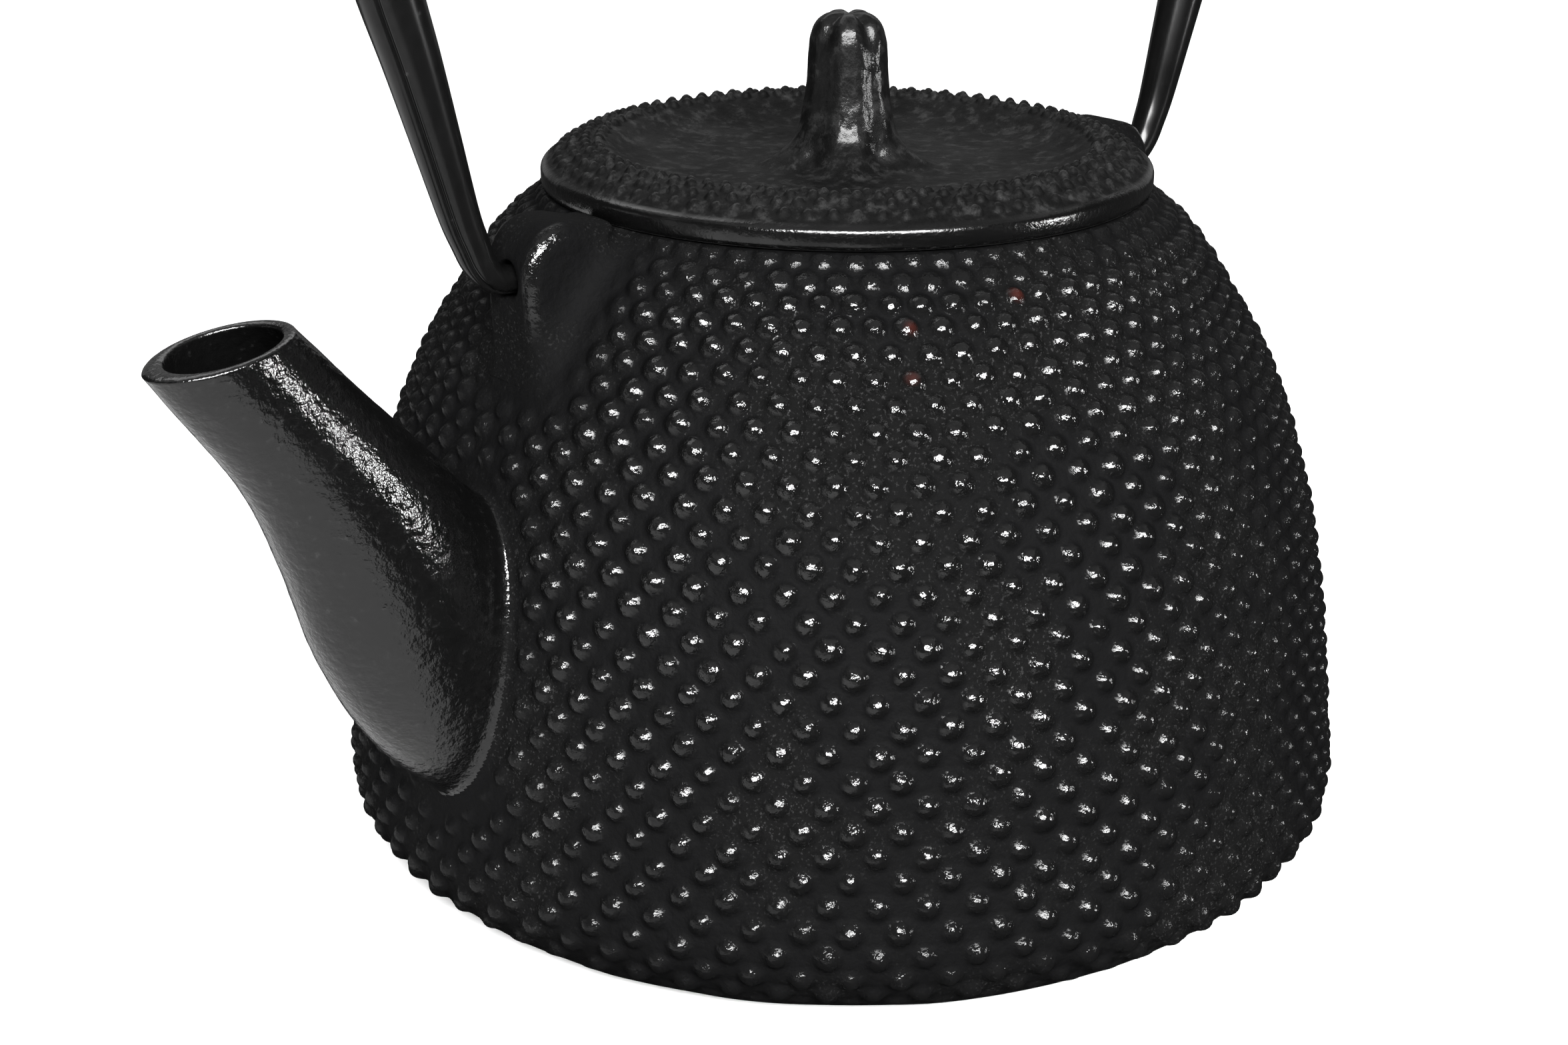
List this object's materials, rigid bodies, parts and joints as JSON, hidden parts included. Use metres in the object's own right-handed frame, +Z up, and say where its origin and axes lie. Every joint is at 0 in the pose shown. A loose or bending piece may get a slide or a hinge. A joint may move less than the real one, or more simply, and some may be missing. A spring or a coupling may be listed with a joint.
{
  "type": "cast iron teapot",
  "caption": "Low round cast iron teapot with hailstone relief, a raised spout, a swinging bail handle, a flat lid with a knob and a lift-out infuser.",
  "frame": {"origin": "centre of the flat underside, on the body's axis", "axes": "+Z up along the body's axis; the spout points along -X, and the lugs and handle lie in the X-Z plane"},
  "size_m": [0.1936, 0.1488, 0.2015],
  "materials": {
    "body_enamel": "black satin enamel over hailstone relief, glossy on the tips",
    "lid_enamel": "black enamel, rough mottled dish and glossy edge",
    "handle_enamel": "smooth gloss black enamel",
    "infuser_steel": "brushed stainless",
    "infuser_mesh": "woven stainless mesh"
  },
  "bodies": {
    "root": {"teapot_body": "body_enamel", "spout": "body_enamel"},
    "handle": {"bail_handle": "handle_enamel"},
    "lid": {"lid": "lid_enamel"},
    "infuser": {"infuser_rim": "infuser_steel", "infuser_wall": "infuser_mesh", "infuser_base": "infuser_mesh"}
  },
  "joints": [
    {"name": "handle_swing", "type": "hinge", "parent": "root", "child": "handle", "pos_m": [0, 0, 0.0926], "axis": [1, 0, 0], "range_deg": [-120, 120]},
    {"name": "lid_lift", "type": "slide", "parent": "root", "child": "lid", "axis": [0, 0, 1], "range_m": [0, 0.06]},
    {"name": "infuser_lift", "type": "slide", "parent": "root", "child": "infuser", "axis": [0, 0, 1], "range_m": [0, 0.027]}
  ],
  "couplings": [
    {"joint": "infuser_lift", "follows": "lid_lift", "ratio": 0.45}
  ]
}
